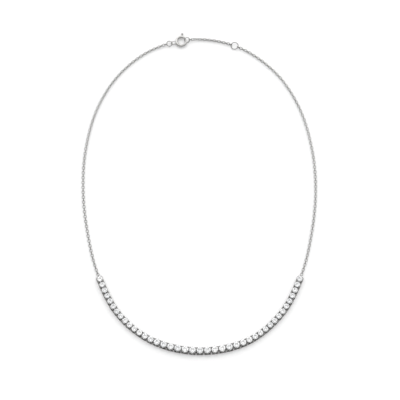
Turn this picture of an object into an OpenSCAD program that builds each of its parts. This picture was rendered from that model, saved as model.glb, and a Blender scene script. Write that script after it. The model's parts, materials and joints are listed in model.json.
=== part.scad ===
// Riviere necklace: a graduated row of round brilliants in hinged four-prong settings, a fine cable
// chain on each side, an adjuster ring and a spring ring clasp, laid out flat as one closed loop.
// The front of the necklace points to -Y, the clasp to +Y, and everything rests on Z = 0.

/* [Stones] */
// Stones on each side of the middle one
side_stones = 20; // [16:1:20]
// Stones on each side that are as large as the middle one
full_size_stones = 4; // [1:1:8]
// Steps in which the stones then shrink to the end size
graded_stones = 5; // [1:1:8]
// Diameter of the middle stone
centre_stone_d = 3.38; // [2.8:0.02:3.4]
// Diameter of the stones at both ends of the row
end_stone_d = 2.88; // [2.4:0.02:2.9]
// Gap between the edges of two stones
stone_gap = 0.24; // [0.22:0.02:0.6]
// Table diameter as a share of the stone
table_share = 0.56; // [0.5:0.01:0.62]
// Crown height as a share of the stone
crown_share = 0.155; // [0.12:0.005:0.17]
// Pavilion depth as a share of the stone
pavilion_share = 0.43; // [0.4:0.005:0.45]
// Girdle height as a share of the stone
girdle_share = 0.03; // [0.02:0.005:0.04]

/* [Settings] */
// Height of the stone's point above the table that the necklace lies on
culet_height = 0.5; // [0.35:0.05:0.8]
// Diameter of a prong
prong_d = 0.46; // [0.38:0.02:0.56]
// Diameter of the rounded tip of a prong
prong_tip_d = 0.5; // [0.42:0.02:0.6]
// How far a prong's middle line stands outside the stone's edge
prong_out = 0.08; // [0.02:0.02:0.16]
// Height of the base frame
frame_h = 0.42; // [0.3:0.02:0.5]
// Width of the base frame's bars
frame_wall = 0.42; // [0.36:0.02:0.46]
// How far the base frame stands outside the stone, across the row
frame_out = 0.18; // [0.1:0.02:0.2]
// How far the frame's cross bars stay inside the stone, along the row
frame_in = 0.45; // [0.44:0.01:0.5]
// Gap between the side rails of two settings
rail_gap = 0.3; // [0.28:0.02:0.5]
// Height of the gallery ring below the stone's edge
gallery_h = 0.3; // [0.2:0.02:0.4]
// Thickness of the gallery ring
gallery_wall = 0.22; // [0.16:0.02:0.3]
// Gap between a stone and its metal
stone_fit = 0.05; // [0.03:0.01:0.08]

/* [Hinges] */
// Diameter of the hinge pin between two settings
pin_d = 0.34; // [0.3:0.02:0.4]
// Wall of the hinge eye round its hole
eye_wall = 0.14; // [0.12:0.01:0.16]
// Width of the hinge eye
eye_w = 0.5; // [0.4:0.05:0.7]
// Thickness of each ear beside the eye
ear_w = 0.3; // [0.2:0.05:0.4]
// Running gap at hinges and between links
clearance = 0.12; // [0.1:0.01:0.14]

/* [Chain] */
// Outer length of a link
link_l = 1.96; // [1.84:0.04:2.2]
// Outer width of a link
link_w = 1.5; // [1.4:0.05:1.7]
// Wire diameter of a link
link_wire = 0.26; // [0.24:0.02:0.32]
// Lean of the flat links, and of the upright links between them, towards the middle of the loop
link_lean = 8; // [0:1:16]
// Outer diameter of the adjuster ring
adjuster_d = 4.0; // [3.4:0.1:5]
// Outer diameter of the jump ring
jump_d = 3.2; // [2.8:0.1:4]
// Outer diameter of the end ring
end_ring_d = 3; // [2.8:0.1:3.2]
// Wire diameter of the adjuster ring, the jump ring and the end ring
ring_wire = 0.36; // [0.34:0.02:0.42]
// Distance from the adjuster ring to the last link before the end ring
extender_l = 23.2; // [15:0.1:34]

/* [Clasp] */
// Distance along the right side from the middle stone to the clasp
clasp_along = 235.95; // [228:0.05:240]
// Outer diameter of the spring ring
clasp_d = 6.1; // [5.8:0.1:7]
// Outer diameter of the spring ring's tube
tube_d = 1.2; // [1.1:0.05:1.3]
// Wall of the tube
tube_wall = 0.2; // [0.16:0.02:0.22]
// Half of the opening's angle
half_gap = 34; // [32:1:35]
// Turn of the opening's middle, from the line back to the end ring
gap_turn = 6; // [5:1:7]
// Turn of the thumb knob, from the same line
knob_turn = 71; // [68:1:74]
// Diameter of the knob's stem
stem_d = 0.4; // [0.3:0.02:0.44]
// Diameter of the knob's flared end
knob_d = 1.3; // [1:0.05:1.6]
// Height of the knob above the tube
knob_h = 1.5; // [1.2:0.05:1.8]
// Length of the soldered bail beyond the tube
bail_l = 2.4; // [2.2:0.05:2.8]
// Width of the bail
bail_w = 1.9; // [1.7:0.1:2.2]
// How far the end ring's wire lifts the clasp off the table
clasp_lift = 0.34; // [0.3:0.02:0.5]

/* [Hidden] */
// Points that the chain's middle line passes through, from the middle stone along the right side
ROUTE = [
    [0, -78.4], [22.8, -73.6], [39.7, -59.6], [50, -39.5], [55.5, -17.5],
    [57.9, 5], [56.4, 27.6], [50.4, 49.7], [38.8, 68.8], [20.7, 82.8],
    [-1, 87.7], [-23.5, 82.4], [-40.9, 68.4], [-52.2, 49.1], [-57.6, 27],
    [-58.5, 4.5], [-55.8, -17.9], [-50.3, -39.4], [-39.8, -59.8], [-22.7, -73.4]
];
$fn = 40;
route_steps = 24;
last_step = len(ROUTE) * route_steps;

silver = [0.80, 0.80, 0.79];
diamond = [0.93, 0.95, 0.97, 0.85];

// A smooth curve through four neighbouring points, between the two in the middle
function curve(a, b, c, d, u) =
    0.5 * (2 * b + (c - a) * u + (2 * a - 5 * b + 4 * c - d) * u * u + (3 * b - a - 3 * c + d) * u * u * u);
function route_point(k) = ROUTE[(k + len(ROUTE)) % len(ROUTE)];
function on_curve(t) =
    let (k = floor(t))
    curve(route_point(k - 1), route_point(k), route_point(k + 1), route_point(k + 2), t - k);

SAMPLES = [for (i = [0:last_step]) on_curve(i / route_steps)];
// Distance walked along the curve at each sample
function span(i) = norm(SAMPLES[min(i + 1, last_step)] - SAMPLES[i]);
WALKED = [for (i = 0, way = 0; i <= last_step; way = way + span(i), i = i + 1) [way, i / route_steps]];
loop_length = WALKED[last_step][0];

function on_loop(s) = let (r = s / loop_length) (r - floor(r)) * loop_length;
function plan(s) = on_curve(lookup(on_loop(s), WALKED));
// Directions are read over a short stretch of the curve to both sides
stretch = 0.2;
function ahead(s) = plan(s + stretch) - plan(s - stretch);
function heading(s) = atan2(ahead(s)[1], ahead(s)[0]);

// Heights of the chain's and the clasp's middle lines: every second link stands on its edge, and
// the end ring's wire runs under the clasp
chain_z = link_w / 2;
clasp_z = tube_d / 2 + clasp_lift;
level_reach = clasp_d;
slope_reach = 8;
function smooth(x) = let (c = max(0, min(1, x))) c * c * (3 - 2 * c);
function line_z(s) =
    chain_z + (clasp_z - chain_z) * (1 - smooth((abs(s - clasp_along) - level_reach) / slope_reach));
function slope(s) = atan2(line_z(s + stretch) - line_z(s - stretch), 2 * stretch);

// The row of stones, numbered from the middle one
function grade(i) = max(0, min(1, (full_size_stones + graded_stones - abs(i)) / graded_stones));
function stone_d(i) = end_stone_d + (centre_stone_d - end_stone_d) * grade(i);
function stone_step(i) = (stone_d(i) + stone_d(i + 1)) / 2 + stone_gap;
function stone_along(i) = i == 0 ? 0 : sign(i) * (stone_along(abs(i) - 1) + stone_step(abs(i) - 1));
function hinge_along(i) = i < 0 ? -hinge_along(-i - 1) : stone_along(i) + (stone_d(i) + stone_gap) / 2;

function girdle_z(d) = culet_height + pavilion_share * d;
function crown_z(d) = girdle_z(d) + girdle_share * d;
function table_z(d) = crown_z(d) + crown_share * d;

// A brilliant has eight main facets, and its lower halves run down most of the pavilion
mains = 8;
lower_half_share = 0.77;

gallery_out = 0.06;
gallery_drop = 0.15;
tip_rise = 0.12;
tip_lean = 0.16;
post_inset = 0.02;
post_d = frame_wall - 2 * post_inset;

eye_lift = 0.08;
ear_inset = 0.03;
eye_hole_d = pin_d + 2 * clearance;
eye_d = eye_hole_d + 2 * eye_wall;
hinge_z = eye_d / 2 + eye_lift;
ear_d = eye_d - 2 * ear_inset;
ear_y = (eye_w + ear_w) / 2 + clearance;
neck_l = stone_gap / 2 + frame_in + frame_wall / 2;
neck_share = 0.5;

// The loops at both ends of the row, and where each chain starts and ends
loop_wire = 0.3;
loop_foot_z = frame_h / 3;
loop_d = 2 * chain_z;
loop_out = loop_d / 2 - frame_in;
row_end = stone_along(side_stones) + end_stone_d / 2 + loop_out;
function hook(ring_d, wire) = ring_d / 2 - wire + link_l / 2 - link_wire - clearance;

// The tongue slides in the tube, closes the opening and lets the end ring hang on it
ring_r = (clasp_d - tube_d) / 2;
tongue_gap = clearance + 0.02;
tongue_d = tube_d - 2 * tube_wall - 2 * tongue_gap;
tip_in = 4;
tip_shows = 2;
open_angle = 2 * half_gap + tip_in - tip_shows;
hook_gap = clearance + 0.14;

end_ring_r = (end_ring_d - ring_wire) / 2;
end_ring_lean = 40;
end_ring_z = end_ring_r * sin(end_ring_lean) + ring_wire / 2;
end_ring_x = ring_r + end_ring_d / 2 - ring_wire - tongue_d / 2 - hook_gap;
end_ring_y = (end_ring_z - clasp_z) / tan(end_ring_lean);

bail_wire = 0.34;
bail_lean = 50;
bail_reach = clasp_d / 2 + bail_l;
jump_x = bail_reach - bail_wire + jump_d / 2 - ring_wire - clearance;

// The clasp and its two rings are pulled straight between the chain's links on both sides
last_link_x = end_ring_x + hook(end_ring_d, ring_wire);
first_link_x = jump_x + hook(jump_d, ring_wire);
straight_l = last_link_x + first_link_x;
last_link_along = clasp_along - last_link_x;
bent_l = norm(plan(last_link_along + straight_l) - plan(last_link_along));
first_link_along = last_link_along + 2 * straight_l - bent_l;
pull = plan(last_link_along) - plan(first_link_along);
clasp_heading = atan2(pull[1], pull[0]);
clasp_at = plan(last_link_along) - last_link_x * [cos(clasp_heading), sin(clasp_heading)];
adjuster_along = last_link_along - extender_l;

slot_w = stem_d + 2 * clearance;
slot_room = asin(slot_w / 2 / ring_r);
tail_turn = 12;
// The knob's outline from the stem up, as shares of its diameter and its height
KNOB = [[0.28, 0.4], [0.46, 0.72], [0.5, 0.84], [0.45, 0.93], [0.25, 1]];
stem_share = 0.15;

settle_links = 4;
tube_sides = 8;
tube_ring_step = 2.5;
longest_step = link_l - 2 * link_wire - clearance;
function links(from, to) = 2 * ceil(((to - from) / longest_step + 1) / 2);

// Middle of the outline seen from above, from the front frame's edge to the knob's top
knob_top = clasp_d / 2 + knob_h;
knob_heading = clasp_heading + knob_turn;
xs = [for (p = SAMPLES) p[0]];
ys = [for (p = SAMPLES) p[1]];
front_y = min(ys) - centre_stone_d / 2 - frame_out;
back_y = clasp_at[1] + knob_top * sin(knob_heading) + knob_d / 2 * abs(cos(knob_heading));
MIDDLE = [(min(xs) + max(xs)) / 2, (front_y + back_y) / 2];

// Stands its children on the table at a distance along the necklace, with X ahead
module stand(s) {
    translate([plan(s)[0] - MIDDLE[0], plan(s)[1] - MIDDLE[1], 0]) rotate([0, 0, heading(s)]) children();
}

// Hangs its children on the chain's middle line at a distance along the necklace
module thread(s) {
    translate([plan(s)[0] - MIDDLE[0], plan(s)[1] - MIDDLE[1], line_z(s)])
        rotate([0, -slope(s), heading(s)]) children();
}

// The clasp's own frame, with X back towards the end ring
module at_clasp() {
    translate([clasp_at[0] - MIDDLE[0], clasp_at[1] - MIDDLE[1], clasp_z])
        rotate([0, 0, clasp_heading]) children();
}

function circle_points(n, r, z, turn) =
    [for (k = [0:n - 1]) [r * cos(360 * k / n + turn), r * sin(360 * k / n + turn), z]];

// Round brilliant: table, 8 stars, 8 kites, 16 upper halves, 16 lower halves and 8 mains
module brilliant(d) {
    r = d / 2;
    n = mains;
    turn = 180 / n;
    table_r = table_share * r;
    star_r = (table_r + r) / 2;
    star_share = (r - star_r * cos(turn)) / (r - table_r);
    low_r = (1 - lower_half_share) * r;
    low_share = 1 - low_r * cos(turn) / r;
    star = n;
    crown = 2 * n;
    girdle = 4 * n;
    low = 6 * n;
    culet = 7 * n;
    points = concat(
        circle_points(n, table_r, table_z(d), 0),
        circle_points(n, star_r, crown_z(d) + crown_share * d * star_share, turn),
        circle_points(2 * n, r, crown_z(d), 0),
        circle_points(2 * n, r, girdle_z(d), 0),
        circle_points(n, low_r, girdle_z(d) - pavilion_share * d * low_share, turn),
        [[0, 0, culet_height]]
    );
    around = [0:n - 1];
    function next(k) = (k + 1) % n;
    function last(k) = (k + n - 1) % n;
    faces = concat(
        [[for (k = [n - 1:-1:0]) k]],
        [for (k = around) [k, next(k), star + k]],
        [for (k = around) [k, star + k, crown + 2 * k, star + last(k)]],
        [for (k = around) [star + k, crown + 2 * k + 1, crown + 2 * k]],
        [for (k = around) [star + k, crown + 2 * next(k), crown + 2 * k + 1]],
        [for (k = [0:2 * n - 1]) let (m = (k + 1) % (2 * n)) [crown + k, crown + m, girdle + m, girdle + k]],
        [for (k = around) [girdle + 2 * k, girdle + 2 * k + 1, low + k]],
        [for (k = around) [girdle + 2 * k + 1, girdle + 2 * next(k), low + k]],
        [for (k = around) [girdle + 2 * k, low + k, culet, low + last(k)]]
    );
    polyhedron(points, faces);
}

module stone(i) {
    color(diamond) stand(stone_along(i)) brilliant(stone_d(i));
}

// The space that a stone needs inside its metal
module stone_room(d) {
    open_z = table_z(d) + prong_tip_d;
    rotate_extrude() polygon([
        [0, culet_height - stone_fit],
        [d / 2 + stone_fit, girdle_z(d) - stone_fit],
        [d / 2 + stone_fit, crown_z(d) + stone_fit],
        [table_share * d / 2 + stone_fit, table_z(d) + stone_fit],
        [table_share * d / 2 + stone_fit, open_z],
        [0, open_z]
    ]);
}

// Two rails along the row, which almost meet the next ones, and two cross bars between them
module base_frame(d) {
    width = d + 2 * frame_out - frame_wall;
    length = d - 2 * frame_in - frame_wall;
    rail_l = d + stone_gap - rail_gap;
    for (side = [-1, 1]) translate([0, 0, frame_h / 2]) {
        translate([0, side * width / 2, 0]) cube([rail_l, frame_wall, frame_h], center = true);
        translate([side * length / 2, 0, 0]) cube([frame_wall, width, frame_h], center = true);
    }
}

module gallery(d) {
    outer = d + 2 * gallery_out;
    translate([0, 0, girdle_z(d) - gallery_drop - gallery_h]) difference() {
        cylinder(d = outer, h = gallery_h);
        translate([0, 0, -gallery_h]) cylinder(d = outer - 2 * gallery_wall, h = 3 * gallery_h);
    }
}

module prongs(d) {
    for (a = [45:90:315]) rotate([0, 0, a]) {
        translate([d / 2 + prong_out, 0, 0]) cylinder(d = prong_d, h = crown_z(d) + tip_rise);
        translate([d / 2 + prong_out - tip_lean, 0, crown_z(d) + tip_rise]) sphere(d = prong_tip_d);
    }
}

// One short post in the middle of each long side, between the frame and the gallery ring
module posts(d) {
    for (side = [-1, 1])
        translate([0, side * (d / 2 + frame_out - frame_wall / 2), frame_h / 2])
            cylinder(d = post_d, h = girdle_z(d) - gallery_drop - gallery_h / 2 - frame_h / 2);
}

// Hinge eye of the setting ahead, with a neck that joins its frame
module eye() {
    difference() {
        union() {
            translate([0, 0, hinge_z]) rotate([90, 0, 0]) cylinder(d = eye_d, h = eye_w, center = true);
            translate([0, -eye_w / 2, hinge_z - neck_share * eye_d / 2])
                cube([neck_l, eye_w, neck_share * eye_d]);
        }
        translate([0, 0, hinge_z]) rotate([90, 0, 0]) cylinder(d = eye_hole_d, h = 2 * eye_w, center = true);
    }
}

// Two ears of the setting behind, with the pin through the eye
module ears() {
    for (side = [-1, 1]) translate([0, side * ear_y, hinge_z]) {
        rotate([90, 0, 0]) cylinder(d = ear_d, h = ear_w, center = true);
        translate([-neck_l, -ear_w / 2, -neck_share * ear_d / 2]) cube([neck_l, ear_w, neck_share * ear_d]);
    }
    translate([0, 0, hinge_z]) rotate([90, 0, 0]) cylinder(d = pin_d, h = 2 * ear_y, center = true);
}

module ring(d, wire) {
    rotate_extrude() translate([(d - wire) / 2, 0]) circle(d = wire);
}

// Upright loop at the end of the row, with X away from the row
module row_loop() {
    translate([0, 0, loop_d / 2]) rotate([90, 0, 0]) ring(loop_d, loop_wire);
    translate([-loop_d / 2 - frame_wall / 2, -loop_wire / 2, loop_foot_z])
        cube([frame_wall / 2 + loop_wire, loop_wire, loop_d / 2 - loop_foot_z]);
}

module setting(i) {
    d = stone_d(i);
    difference() {
        union() {
            stand(stone_along(i)) {
                base_frame(d);
                gallery(d);
                prongs(d);
                posts(d);
            }
            if (i < side_stones) stand(hinge_along(i)) ears();
            if (i > -side_stones) stand(hinge_along(i - 1)) eye();
            if (i == side_stones) stand(row_end) row_loop();
            if (i == -side_stones) stand(-row_end) rotate([0, 0, 180]) row_loop();
        }
        stand(stone_along(i)) stone_room(d);
    }
}

module settings(first, last) {
    color(silver) for (i = [first:last]) setting(i);
}

// Oval of wire, long in X
module oval(l, w, wire) {
    side_l = l - w;
    for (turn = [0, 180]) rotate([0, 0, turn]) {
        translate([side_l / 2, 0, 0]) rotate([0, 0, -90])
            rotate_extrude(angle = 180) translate([(w - wire) / 2, 0]) circle(d = wire);
        translate([-side_l / 2, (w - wire) / 2, 0]) rotate([0, 90, 0]) cylinder(d = wire, h = side_l);
    }
}

// Links turn a quarter from one to the next, and the last ones lean more and more towards last_lean
function link_turn(i, n, last_lean) =
    90 * (i + 1) - link_lean + (last_lean + link_lean) * max(0, 1 - (n - 1 - i) / settle_links);

module chain(from, to, last_lean) {
    n = links(from, to);
    color(silver) for (i = [0:n - 1])
        thread(from + (to - from) * i / (n - 1))
            rotate([link_turn(i, n, last_lean), 0, 0]) oval(link_l, link_w, link_wire);
}

// The chain's outer form as a tube of eight sides
module chain_tube(from, to) {
    rings = ceil((to - from) / (2 * chain_z * tube_ring_step));
    function side_point(s, a) =
        let (h = heading(s), p = plan(s) - MIDDLE, rise = slope(s))
        [p[0], p[1], line_z(s)]
        + chain_z * cos(a) * [-sin(h), cos(h), 0]
        + chain_z * sin(a) * [-cos(h) * sin(rise), -sin(h) * sin(rise), cos(rise)];
    points = [
        for (k = [0:rings]) for (a = [0:tube_sides - 1])
            side_point(from + (to - from) * k / rings, 360 * a / tube_sides)
    ];
    walls = [
        for (k = [0:rings - 1]) for (a = [0:tube_sides - 1])
            let (b = (a + 1) % tube_sides, q = k * tube_sides)
            [q + a, q + b, q + tube_sides + b, q + tube_sides + a]
    ];
    start = [for (a = [tube_sides - 1:-1:0]) a];
    end = [for (a = [0:tube_sides - 1]) rings * tube_sides + a];
    color(silver) polyhedron(points, concat(walls, [start, end]));
}

module chain_left() {
    chain(first_link_along, loop_length - row_end - hook(loop_d, loop_wire), -link_lean);
}

module chain_right() {
    chain_tube(row_end + loop_d / 2 + clearance, adjuster_along - adjuster_d / 2 - clearance);
}

module chain_extender() {
    chain(adjuster_along + hook(adjuster_d, ring_wire), last_link_along, 90 - end_ring_lean);
}

module adjuster_ring() {
    color(silver) thread(adjuster_along) rotate([-link_lean, 0, 0]) ring(adjuster_d, ring_wire);
}

module jump_ring() {
    color(silver) at_clasp() translate([-jump_x, 0, 0]) ring(jump_d, ring_wire);
}

// The end ring leans on the table and hooks over the clasp's tongue
module end_ring() {
    color(silver) at_clasp()
        translate([end_ring_x, end_ring_y, end_ring_z - clasp_z])
            rotate([end_ring_lean, 0, 0]) ring(end_ring_d, ring_wire);
}

// An arc of round wire in the clasp's plane
module arc(from, to, d) {
    rotate([0, 0, from]) rotate_extrude(angle = to - from) translate([ring_r, 0]) circle(d = d);
}

module clasp_ring() {
    bail_oval_l = bail_l + tube_wall + bail_wire;
    color(silver) at_clasp() difference() {
        union() {
            arc(gap_turn + half_gap, gap_turn - half_gap + 360, tube_d);
            translate([-bail_reach + bail_oval_l / 2, 0, 0]) rotate([bail_lean, 0, 0])
                oval(bail_oval_l, bail_w, bail_wire);
        }
        rotate_extrude() translate([ring_r, 0]) circle(d = tube_d - 2 * tube_wall);
        rotate([0, 0, knob_turn - slot_room]) rotate_extrude(angle = open_angle + 2 * slot_room)
            translate([ring_r, -slot_w / 2]) square([tube_d, slot_w]);
    }
}

module knob() {
    rotate([0, 90, 0]) rotate_extrude() polygon(concat(
        [[0, ring_r], [stem_d / 2, ring_r], [stem_d / 2, clasp_d / 2 + stem_share * knob_h]],
        [for (p = KNOB) [p[0] * knob_d, clasp_d / 2 + p[1] * knob_h]],
        [[0, knob_top]]
    ));
}

module clasp_trigger() {
    color(silver) at_clasp() {
        arc(gap_turn - half_gap - tip_in, knob_turn + tail_turn, tongue_d);
        rotate([0, 0, knob_turn]) knob();
    }
}

for (i = [-side_stones:side_stones])
    stone(i);
settings(-side_stones, 0);  // settings_left
settings(1, side_stones);  // settings_right
chain_left();
chain_right();
chain_extender();
adjuster_ring();
end_ring();
jump_ring();
clasp_ring();
clasp_trigger();
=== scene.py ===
"""Looks for a riviere necklace that lies flat as one closed loop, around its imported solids.

The stones, settings, rings and clasp are the part's own solids, with polished finishes. The chains
are modelled here link by link, along the same line as in the part's source.
"""

import json
import math

import bmesh
import bpy
from bpy.props import FloatProperty, FloatVectorProperty, IntProperty, PointerProperty
from bpy.types import Operator, Panel, PropertyGroup
from mathutils import Matrix, Vector

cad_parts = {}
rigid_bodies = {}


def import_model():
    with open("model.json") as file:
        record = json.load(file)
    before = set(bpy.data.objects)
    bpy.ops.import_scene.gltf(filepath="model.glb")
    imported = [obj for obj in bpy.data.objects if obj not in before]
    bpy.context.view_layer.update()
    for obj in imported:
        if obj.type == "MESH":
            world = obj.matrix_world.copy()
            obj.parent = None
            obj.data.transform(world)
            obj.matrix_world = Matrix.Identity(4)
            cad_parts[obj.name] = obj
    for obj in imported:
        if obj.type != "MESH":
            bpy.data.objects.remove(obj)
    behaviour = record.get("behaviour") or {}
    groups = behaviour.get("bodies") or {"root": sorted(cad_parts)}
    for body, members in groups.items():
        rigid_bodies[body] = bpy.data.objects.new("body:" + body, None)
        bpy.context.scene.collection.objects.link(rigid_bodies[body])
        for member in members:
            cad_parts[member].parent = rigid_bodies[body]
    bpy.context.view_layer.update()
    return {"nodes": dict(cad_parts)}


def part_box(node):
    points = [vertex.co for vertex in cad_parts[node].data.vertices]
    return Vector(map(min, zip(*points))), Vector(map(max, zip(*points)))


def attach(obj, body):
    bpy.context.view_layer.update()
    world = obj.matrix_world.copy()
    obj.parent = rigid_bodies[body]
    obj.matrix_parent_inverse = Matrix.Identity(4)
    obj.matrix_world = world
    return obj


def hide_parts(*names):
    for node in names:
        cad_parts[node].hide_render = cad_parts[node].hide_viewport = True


bl_info = {
    "name": "Riviere Necklace",
    "version": (1, 0, 0),
    "blender": (4, 5, 0),
    "location": "3D View > Sidebar > Necklace",
    "description": "Finishes, chain links and a studio for a riviere necklace",
    "category": "Object",
}

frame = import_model()

MM = 0.001
BODY = "necklace"

# Points that the chain's middle line passes through, in millimetres, as in the part's source
ROUTE = [
    (0, -78.4), (22.8, -73.6), (39.7, -59.6), (50, -39.5), (55.5, -17.5),
    (57.9, 5), (56.4, 27.6), (50.4, 49.7), (38.8, 68.8), (20.7, 82.8),
    (-1, 87.7), (-23.5, 82.4), (-40.9, 68.4), (-52.2, 49.1), (-57.6, 27),
    (-58.5, 4.5), (-55.8, -17.9), (-50.3, -39.4), (-39.8, -59.8), (-22.7, -73.4),
]
ROUTE_STEPS = 24
STRETCH = 0.2 * MM  # directions are read over this length to both sides

# The middle of a noise, between its rare lowest and highest values
NOISE_MIDDLE = (0.3, 0.7)

# Polishing marks: their sizes on each kind of piece, and how much larger the patches of tone and
# gloss are
SETTING_MARK = 0.25 * MM
CHAIN_MARK = 0.2 * MM
CLASP_MARK = 0.35 * MM
MARK_DEPTH = 0.02 * MM
TONE_PATCH = 8
GLOSS_PATCH = 3
GLOSS_SPREAD = (0.9, 1.2)

# Patches of tint and of polish on the stones
TINT_PATCH = 6 * MM
POLISH_PATCH = 0.4 * MM

# The floor's faint unevenness and its dull finish
FLOOR_PATCH = 30 * MM
FLOOR_SHADE = 0.985
FLOOR_ROUGHNESS = 0.9
FLOOR_GLOSS = 0.1

SIDE_BLEND = 0.35  # how softly the light changes from front to back
SENSOR_WIDTH = 36
CLIPPING = (0.01, 50)

STONES = [name for name in frame["nodes"] if name.startswith("stone_")]
SETTINGS = ["settings_left", "settings_right"]
RINGS = ["adjuster_ring", "end_ring", "jump_ring"]
CLASP = ["clasp_ring", "clasp_trigger"]


def centre(node):
    """Middle of a CAD node's box."""
    low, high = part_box(node)
    return (Vector(low) + Vector(high)) / 2


# The necklace's line


class Line:
    """The chain's middle line seen from above, walked from the middle stone along the right side."""

    def __init__(self):
        count = len(ROUTE)
        self.points = [self._curve(i / ROUTE_STEPS) for i in range(count * ROUTE_STEPS + 1)]
        middle_stone = centre("stone_21").xy
        shift = middle_stone - self.points[0]
        self.points = [point + shift for point in self.points]
        self.walked = [0.0]
        for a, b in zip(self.points, self.points[1:]):
            self.walked.append(self.walked[-1] + (b - a).length)
        self.length = self.walked[-1]

    @staticmethod
    def _curve(t):
        """A smooth curve through the route's points; t counts them."""
        k = math.floor(t)
        u = t - k
        a, b, c, d = (MM * Vector(ROUTE[(k + i) % len(ROUTE)]) for i in (-1, 0, 1, 2))
        return 0.5 * (
            2 * b + (c - a) * u + (2 * a - 5 * b + 4 * c - d) * u**2 + (3 * b - a - 3 * c + d) * u**3
        )

    def plan(self, along):
        """The place at a distance along the line."""
        along %= self.length
        low, high = 0, len(self.walked) - 1
        while high - low > 1:
            half = (low + high) // 2
            low, high = (half, high) if self.walked[half] <= along else (low, half)
        share = (along - self.walked[low]) / (self.walked[high] - self.walked[low])
        return self.points[low].lerp(self.points[high], share)

    def heading(self, along):
        """The direction of the line there, as an angle about Z."""
        ahead = self.plan(along + STRETCH) - self.plan(along - STRETCH)
        return math.atan2(ahead.y, ahead.x)


# Finishes


def new_material(name):
    """A material with a Principled shader, ready for more nodes."""
    material = bpy.data.materials.new(name)
    material.use_nodes = True
    nodes = material.node_tree.nodes
    return material, nodes, material.node_tree.links, nodes["Principled BSDF"]


def noise(nodes, links, size, detail):
    """Noise in the object's own space, with marks of about that size."""
    place = nodes.new("ShaderNodeTexCoord")
    texture = nodes.new("ShaderNodeTexNoise")
    texture.inputs["Scale"].default_value = 1 / size
    texture.inputs["Detail"].default_value = detail
    links.new(place.outputs["Object"], texture.inputs["Vector"])
    return texture.outputs["Fac"]


def spread(nodes, links, value, low, high):
    """Maps the middle of a noise to the range between low and high."""
    ramp = nodes.new("ShaderNodeMapRange")
    ramp.inputs["From Min"].default_value, ramp.inputs["From Max"].default_value = NOISE_MIDDLE
    ramp.inputs["To Min"].default_value = low
    ramp.inputs["To Max"].default_value = high
    links.new(value, ramp.inputs["Value"])
    return ramp.outputs["Result"]


def polished_metal(name, metal, colour, roughness, mark_size):
    """White metal with faint polishing marks and slightly uneven gloss."""
    material, nodes, links, shader = new_material(name)
    shader.inputs["Metallic"].default_value = 1.0
    tone = nodes.new("ShaderNodeMix")
    tone.data_type = "RGBA"
    tone.inputs["A"].default_value = (*[c * metal.shade for c in colour], 1)
    tone.inputs["B"].default_value = (*colour, 1)
    patches = noise(nodes, links, TONE_PATCH * mark_size, 3)
    links.new(spread(nodes, links, patches, 0, 1), tone.inputs["Factor"])
    links.new(tone.outputs["Result"], shader.inputs["Base Color"])
    low, high = (share * roughness for share in GLOSS_SPREAD)
    gloss = spread(nodes, links, noise(nodes, links, GLOSS_PATCH * mark_size, 4), low, high)
    links.new(gloss, shader.inputs["Roughness"])
    bump = nodes.new("ShaderNodeBump")
    bump.inputs["Strength"].default_value = metal.marks
    bump.inputs["Distance"].default_value = MARK_DEPTH
    links.new(noise(nodes, links, mark_size, 2), bump.inputs["Height"])
    links.new(bump.outputs["Normal"], shader.inputs["Normal"])
    return material


def cut_stone(name, stone):
    """A clear, colourless stone with polished facets."""
    material, nodes, links, shader = new_material(name)
    shader.inputs["Transmission Weight"].default_value = 1.0
    shader.inputs["IOR"].default_value = stone.ior
    tint = nodes.new("ShaderNodeMix")
    tint.data_type = "RGBA"
    tint.inputs["A"].default_value = (*stone.colour, 1)
    tint.inputs["B"].default_value = (1, 1, 1, 1)
    links.new(spread(nodes, links, noise(nodes, links, TINT_PATCH, 1), 0, 1), tint.inputs["Factor"])
    links.new(tint.outputs["Result"], shader.inputs["Base Color"])
    polish = spread(nodes, links, noise(nodes, links, POLISH_PATCH, 2), 0, stone.roughness)
    links.new(polish, shader.inputs["Roughness"])
    return material


def dress(nodes, material):
    """Gives CAD nodes their finish."""
    for name in nodes:
        piece = frame["nodes"][name]
        piece.data.materials.clear()
        piece.data.materials.append(material)


# Modelling


def deselect_all():
    """Nothing stays selected or active."""
    for piece in bpy.context.view_layer.objects:
        piece.select_set(False)
    bpy.context.view_layer.objects.active = None


def model_link(chain):
    """One oval link of round wire, long in X: a torus whose halves are pulled apart."""
    deselect_all()
    bpy.ops.mesh.primitive_torus_add(
        major_segments=chain.link_steps,
        minor_segments=chain.wire_sides,
        major_radius=(chain.link_width - chain.link_wire) / 2,
        minor_radius=chain.link_wire / 2,
        rotation=(0, 0, math.pi / chain.link_steps),
    )
    link = bpy.context.object
    bpy.ops.object.transform_apply(location=False, rotation=True, scale=False)
    pull = (chain.link_length - chain.link_width) / 2
    bpy.ops.object.mode_set(mode="EDIT")
    mesh = bmesh.from_edit_mesh(link.data)
    for side in (-1, 1):
        bpy.ops.mesh.select_all(action="DESELECT")
        for vert in mesh.verts:
            vert.select = vert.co.x * side > 0
        mesh.select_flush(True)
        bmesh.update_edit_mesh(link.data)
        bpy.ops.transform.translate(value=(side * pull, 0, 0))
        mesh = bmesh.from_edit_mesh(link.data)
    bpy.ops.object.mode_set(mode="OBJECT")
    bpy.ops.object.shade_smooth()
    return link


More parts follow.
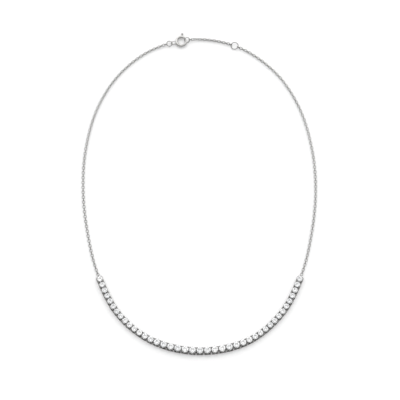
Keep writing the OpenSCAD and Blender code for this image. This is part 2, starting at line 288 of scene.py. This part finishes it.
def string_links(name, chain, line, start, end, height, first_turn, last_lean):
    """A chain of interlocked links from one distance along the line to another, as one piece.

    Each link is turned a quarter from the one before, from first_turn on, and the last ones lean
    more and more towards last_lean.
    """
    longest_step = chain.link_length - 2 * chain.link_wire - chain.clearance
    count = 2 * math.ceil(((end - start) / longest_step + 1) / 2)
    link = model_link(chain)
    copies = []
    for i in range(count):
        along = start + (end - start) * i / (count - 1)
        settled = max(0, 1 - (count - 1 - i) / chain.settle_links)
        turn = first_turn + math.radians(90) * i - chain.lean + (last_lean + chain.lean) * settled
        slope = math.atan2(height(along + STRETCH) - height(along - STRETCH), 2 * STRETCH)
        copy = link.copy()
        copy.data = link.data.copy()
        copy.matrix_world = (
            Matrix.Translation((*line.plan(along), height(along)))
            @ Matrix.Rotation(line.heading(along), 4, "Z")
            @ Matrix.Rotation(-slope, 4, "Y")
            @ Matrix.Rotation(turn, 4, "X")
        )
        bpy.context.collection.objects.link(copy)
        copies.append(copy)
    bpy.data.objects.remove(link)
    deselect_all()
    for copy in copies:
        copy.select_set(True)
    bpy.context.view_layer.objects.active = copies[0]
    bpy.ops.object.join()
    bpy.ops.object.transform_apply(location=True, rotation=True, scale=True)
    piece = bpy.context.object
    piece.name = piece.data.name = name
    return piece


# What a user may change


class NecklaceStoneSettings(PropertyGroup):
    colour: FloatVectorProperty(
        name="Colour", description="Body colour of the stones", subtype="COLOR", size=3,
        default=(0.82, 0.835, 0.85), min=0, max=1,
    )
    ior: FloatProperty(name="IOR", description="Refraction of the stones", default=2.42, min=1.5, max=2.7)
    roughness: FloatProperty(
        name="Roughness", description="Roughness where the polish is weakest", default=0.03, min=0, max=0.2
    )


class NecklaceMetalSettings(PropertyGroup):
    # One white metal is given three brightnesses for how light falls on each piece. The settings' metal is
    # darkened as painted shade for the shadowed walls and gaps between the stones.
    setting_shade_colour: FloatVectorProperty(
        name="Settings", description="Colour of the settings", subtype="COLOR", size=3,
        default=(0.36, 0.356, 0.348), min=0, max=1,
    )
    # The links' and rings' metal is the darkest copy of the same white metal, darkened as painted shade.
    chain_shade_colour: FloatVectorProperty(
        name="Chain", description="Colour of the links and rings", subtype="COLOR", size=3,
        default=(0.26, 0.256, 0.249), min=0, max=1,
    )
    # The clasp's metal is the lightest copy of the same white metal, lightened as a painted sheen.
    clasp_sheen_colour: FloatVectorProperty(
        name="Clasp", description="Colour of the clasp", subtype="COLOR", size=3,
        default=(0.5, 0.496, 0.484), min=0, max=1,
    )
    shade: FloatProperty(
        name="Shade", description="Darkest share of the colour", default=0.88, min=0.5, max=1
    )
    marks: FloatProperty(
        name="Marks", description="Strength of the polishing marks", default=0.25, min=0, max=1
    )
    setting_roughness: FloatProperty(
        name="Settings", description="Roughness of the settings", default=0.14, min=0.02, max=0.5
    )
    chain_roughness: FloatProperty(
        name="Chain", description="Roughness of the links and rings", default=0.32, min=0.02, max=0.5
    )
    clasp_roughness: FloatProperty(
        name="Clasp", description="Roughness of the clasp", default=0.1, min=0.02, max=0.5
    )


class NecklaceChainSettings(PropertyGroup):
    link_length: FloatProperty(
        name="Link length", description="Outer length of a link", unit="LENGTH", default=1.96 * MM
    )
    link_width: FloatProperty(
        name="Link width", description="Outer width of a link", unit="LENGTH", default=1.5 * MM
    )
    link_wire: FloatProperty(
        name="Wire", description="Wire diameter of a link", unit="LENGTH", default=0.26 * MM
    )
    clearance: FloatProperty(
        name="Clearance", description="Gap between linked wires", unit="LENGTH", default=0.12 * MM
    )
    lean: FloatProperty(
        name="Lean", description="Lean of the links towards the middle of the loop", subtype="ANGLE",
        default=math.radians(8),
    )
    end_link_lean: FloatProperty(
        name="Lean at end ring", description="Lean of the extender's last link", subtype="ANGLE",
        default=math.radians(50),
    )
    settle_links: IntProperty(
        name="Settling links", description="Links over which the lean changes", default=4, min=1, max=8
    )
    link_steps: IntProperty(
        name="Link steps", description="Steps round a link", default=12, min=8, max=24
    )
    wire_sides: IntProperty(name="Wire sides", description="Sides of the wire", default=6, min=5, max=12)
    ring_wire: FloatProperty(
        name="Ring wire", description="Wire diameter of the rings", unit="LENGTH", default=0.36 * MM
    )
    adjuster_size: FloatProperty(
        name="Adjuster ring", description="Outer diameter of the adjuster ring",
        unit="LENGTH", default=4 * MM,
    )
    loop_wire: FloatProperty(
        name="Loop wire", description="Wire of the loops on the row", unit="LENGTH", default=0.3 * MM
    )
    row_end: FloatProperty(
        name="Row end", description="From the middle stone to the loop at each end of the row",
        unit="LENGTH", default=67.39 * MM,
    )
    adjuster_along: FloatProperty(
        name="Adjuster at", description="From the middle stone to the adjuster ring",
        unit="LENGTH", default=207.94 * MM,
    )
    extender_length: FloatProperty(
        name="Extender", description="From the adjuster ring to the last link before the end ring",
        unit="LENGTH", default=23.2 * MM,
    )
    clasp_span: FloatProperty(
        name="Clasp span", description="Between the links on both sides of the clasp",
        unit="LENGTH", default=12.9057 * MM,
    )
    clasp_along: FloatProperty(
        name="Clasp at", description="From the middle stone to the clasp", unit="LENGTH",
        default=235.95 * MM,
    )
    clasp_height: FloatProperty(
        name="Clasp height", description="Height of the clasp's middle", unit="LENGTH", default=0.94 * MM
    )
    level_reach: FloatProperty(
        name="Level reach", description="Half the length that lies at the clasp's height",
        unit="LENGTH", default=6.1 * MM,
    )
    slope_reach: FloatProperty(
        name="Slope reach", description="Length over which the chain comes down to the table",
        unit="LENGTH", default=8 * MM,
    )


class NecklaceStageSettings(PropertyGroup):
    floor_colour: FloatVectorProperty(
        name="Floor", description="Colour of the floor", subtype="COLOR", size=3,
        default=(0.9, 0.9, 0.9), min=0, max=1,
    )
    floor_size: FloatProperty(name="Floor size", description="Side of the floor", unit="LENGTH", default=12)
    back_light: FloatProperty(name="Back", description="Light from behind", default=1.95, min=0)
    front_light: FloatProperty(name="Front", description="Light from the camera's side", default=1.3, min=0)
    top_light: FloatProperty(name="Top", description="Light from straight above", default=0.75, min=0)
    front_from: FloatProperty(
        name="Front from", description="Height below which nothing lights the front",
        subtype="ANGLE", default=math.radians(20),
    )
    side_height: FloatProperty(
        name="Sides to", description="Height to which the light from the sides reaches",
        subtype="ANGLE", default=math.radians(60),
    )
    top_height: FloatProperty(
        name="Top from", description="Height from which the light from above is full",
        subtype="ANGLE", default=math.radians(75),
    )
    camera_distance: FloatProperty(
        name="Distance", description="From the camera to the necklace", unit="LENGTH", default=1.0
    )
    camera_elevation: FloatProperty(
        name="Elevation", description="Camera's angle above the floor", subtype="ANGLE",
        default=math.radians(70),
    )
    lens: FloatProperty(name="Lens", description="Focal length in millimetres", default=180, min=50)


# One operator for each group of pieces


class NECKLACE_OT_stones(Operator):
    """Polish the cut stones"""

    bl_idname = "necklace.stones"
    bl_label = "Stones"

    def execute(self, context):
        dress(STONES, cut_stone("Stone", context.scene.necklace_stone))
        return {"FINISHED"}


class NECKLACE_OT_settings(Operator):
    """Polish the hinged settings"""

    bl_idname = "necklace.settings"
    bl_label = "Settings"

    def execute(self, context):
        metal = context.scene.necklace_metal
        # The settings' darker metal is painted shade for the shadowed walls and gaps between the stones.
        material = polished_metal(
            "Setting metal", metal, metal.setting_shade_colour, metal.setting_roughness, SETTING_MARK
        )
        dress(SETTINGS, material)
        return {"FINISHED"}


class NECKLACE_OT_clasp(Operator):
    """Polish the spring ring and its trigger"""

    bl_idname = "necklace.clasp"
    bl_label = "Clasp"

    def execute(self, context):
        metal = context.scene.necklace_metal
        # The clasp's lighter metal is a painted sheen.
        material = polished_metal(
            "Clasp metal", metal, metal.clasp_sheen_colour, metal.clasp_roughness, CLASP_MARK
        )
        dress(CLASP, material)
        return {"FINISHED"}


class NECKLACE_OT_chains(Operator):
    """Model both chains and the extender link by link, and polish them and the rings"""

    bl_idname = "necklace.chains"
    bl_label = "Chains"

    def execute(self, context):
        chain = context.scene.necklace_chain
        metal = context.scene.necklace_metal
        line = Line()
        chain_z = chain.link_width / 2

        def height(along):
            """Height of the chain's middle line, which rises to the clasp."""
            away = (abs(along - chain.clasp_along) - chain.level_reach) / chain.slope_reach
            share = max(0, min(1, away))
            return chain_z + (chain.clasp_height - chain_z) * (1 - share**2 * (3 - 2 * share))

        def hook(ring_size, wire):
            """From a ring's middle to the middle of the link that hangs on it."""
            return ring_size / 2 - wire + chain.link_length / 2 - chain.link_wire - chain.clearance

        row_hook = chain.row_end + hook(2 * chain_z, chain.loop_wire)
        ring_hook = hook(chain.adjuster_size, chain.ring_wire)
        last_link = chain.adjuster_along + chain.extender_length
        # The chain's and rings' darkest metal is painted shade.
        material = polished_metal(
            "Chain metal", metal, metal.chain_shade_colour, metal.chain_roughness, CHAIN_MARK
        )
        flat, upright = 0, math.radians(90)
        runs = [
            ("links_right", "chain_right", row_hook, chain.adjuster_along - ring_hook,
             flat, -chain.lean),
            ("links_extender", "chain_extender", chain.adjuster_along + ring_hook, last_link,
             upright, chain.end_link_lean),
            ("links_left", "chain_left", last_link + chain.clasp_span, line.length - row_hook,
             upright, -chain.lean),
        ]
        for name, node, start, end, first_turn, last_lean in runs:
            piece = string_links(name, chain, line, start, end, height, first_turn, last_lean)
            piece.data.materials.append(material)
            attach(piece, BODY)
            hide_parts(node)
        dress(RINGS, material)
        return {"FINISHED"}


class NECKLACE_OT_stage(Operator):
    """Set up the floor, the light and the camera"""

    bl_idname = "necklace.stage"
    bl_label = "Stage"

    def execute(self, context):
        stage = context.scene.necklace_stage
        deselect_all()
        bpy.ops.mesh.primitive_plane_add(size=stage.floor_size)
        floor = context.object
        floor.name = "floor"
        material, nodes, links, shader = new_material("Floor")
        tone = nodes.new("ShaderNodeMix")
        tone.data_type = "RGBA"
        tone.inputs["A"].default_value = (*[c * FLOOR_SHADE for c in stage.floor_colour], 1)
        tone.inputs["B"].default_value = (*stage.floor_colour, 1)
        links.new(noise(nodes, links, FLOOR_PATCH, 3), tone.inputs["Factor"])
        links.new(tone.outputs["Result"], shader.inputs["Base Color"])
        shader.inputs["Roughness"].default_value = FLOOR_ROUGHNESS
        shader.inputs["Specular IOR Level"].default_value = FLOOR_GLOSS
        floor.data.materials.append(material)

        world = bpy.data.worlds.new("Studio")
        world.use_nodes = True
        nodes, links = world.node_tree.nodes, world.node_tree.links
        place = nodes.new("ShaderNodeTexCoord")
        split = nodes.new("ShaderNodeSeparateXYZ")
        links.new(place.outputs["Generated"], split.inputs["Vector"])

        def fade(socket, start, end, low, high):
            """A value that goes from low to high between two heights or two sides."""
            ramp = nodes.new("ShaderNodeMapRange")
            ramp.inputs["From Min"].default_value = start
            ramp.inputs["From Max"].default_value = end
            ramp.inputs["To Min"].default_value = low
            ramp.inputs["To Max"].default_value = high
            links.new(split.outputs[socket], ramp.inputs["Value"])
            return ramp.outputs["Result"]

        side = nodes.new("ShaderNodeMix")
        links.new(fade("Y", -SIDE_BLEND, SIDE_BLEND, 0, 1), side.inputs["Factor"])
        side_z, top_z = math.sin(stage.side_height), math.sin(stage.top_height)
        front = fade("Z", math.sin(stage.front_from), side_z, 0, stage.front_light)
        links.new(front, side.inputs["A"])
        side.inputs["B"].default_value = stage.back_light
        sky = nodes.new("ShaderNodeMix")
        links.new(fade("Z", side_z, top_z, 0, 1), sky.inputs["Factor"])
        links.new(side.outputs["Result"], sky.inputs["A"])
        sky.inputs["B"].default_value = stage.top_light
        links.new(sky.outputs["Result"], nodes["Background"].inputs["Strength"])
        nodes["Background"].inputs["Color"].default_value = (1, 1, 1, 1)
        context.scene.world = world

        target = centre("stone_21").xy - MM * Vector(ROUTE[0])
        camera = bpy.data.cameras.new("camera")
        camera.lens = stage.lens
        camera.sensor_width = SENSOR_WIDTH
        camera.clip_start, camera.clip_end = CLIPPING
        holder = bpy.data.objects.new("camera", camera)
        back = Vector((0, -math.cos(stage.camera_elevation), math.sin(stage.camera_elevation)))
        holder.location = Vector((*target, 0)) + back * stage.camera_distance
        holder.rotation_euler = (-back).to_track_quat("-Z", "Y").to_euler()
        context.collection.objects.link(holder)
        context.scene.camera = holder
        context.scene.view_settings.view_transform = "Standard"
        return {"FINISHED"}


class NECKLACE_PT_panel(Panel):
    """Lists the operators, each with the sizes and colours it uses"""

    bl_label = "Riviere Necklace"
    bl_idname = "NECKLACE_PT_panel"
    bl_space_type = "VIEW_3D"
    bl_region_type = "UI"
    bl_category = "Necklace"

    def draw(self, context):
        for operator, group in (
            (NECKLACE_OT_stones, "necklace_stone"),
            (NECKLACE_OT_settings, "necklace_metal"),
            (NECKLACE_OT_clasp, None),
            (NECKLACE_OT_chains, "necklace_chain"),
            (NECKLACE_OT_stage, "necklace_stage"),
        ):
            box = self.layout.box()
            box.operator(operator.bl_idname)
            if group:
                values = getattr(context.scene, group)
                for name in values.bl_rna.properties.keys():
                    if name not in ("rna_type", "name"):
                        box.prop(values, name)


CLASSES = (
    NecklaceStoneSettings,
    NecklaceMetalSettings,
    NecklaceChainSettings,
    NecklaceStageSettings,
    NECKLACE_OT_stones,
    NECKLACE_OT_settings,
    NECKLACE_OT_clasp,
    NECKLACE_OT_chains,
    NECKLACE_OT_stage,
    NECKLACE_PT_panel,
)
GROUPS = {
    "necklace_stone": NecklaceStoneSettings,
    "necklace_metal": NecklaceMetalSettings,
    "necklace_chain": NecklaceChainSettings,
    "necklace_stage": NecklaceStageSettings,
}


def register():
    for each in CLASSES:
        bpy.utils.register_class(each)
    for name, group in GROUPS.items():
        setattr(bpy.types.Scene, name, PointerProperty(type=group))


def unregister():
    for name in GROUPS:
        delattr(bpy.types.Scene, name)
    for each in reversed(CLASSES):
        bpy.utils.unregister_class(each)


def main():
    register()
    bpy.ops.necklace.stones()
    bpy.ops.necklace.settings()
    bpy.ops.necklace.clasp()
    bpy.ops.necklace.chains()
    bpy.ops.necklace.stage()


if __name__ == "__main__":
    main()
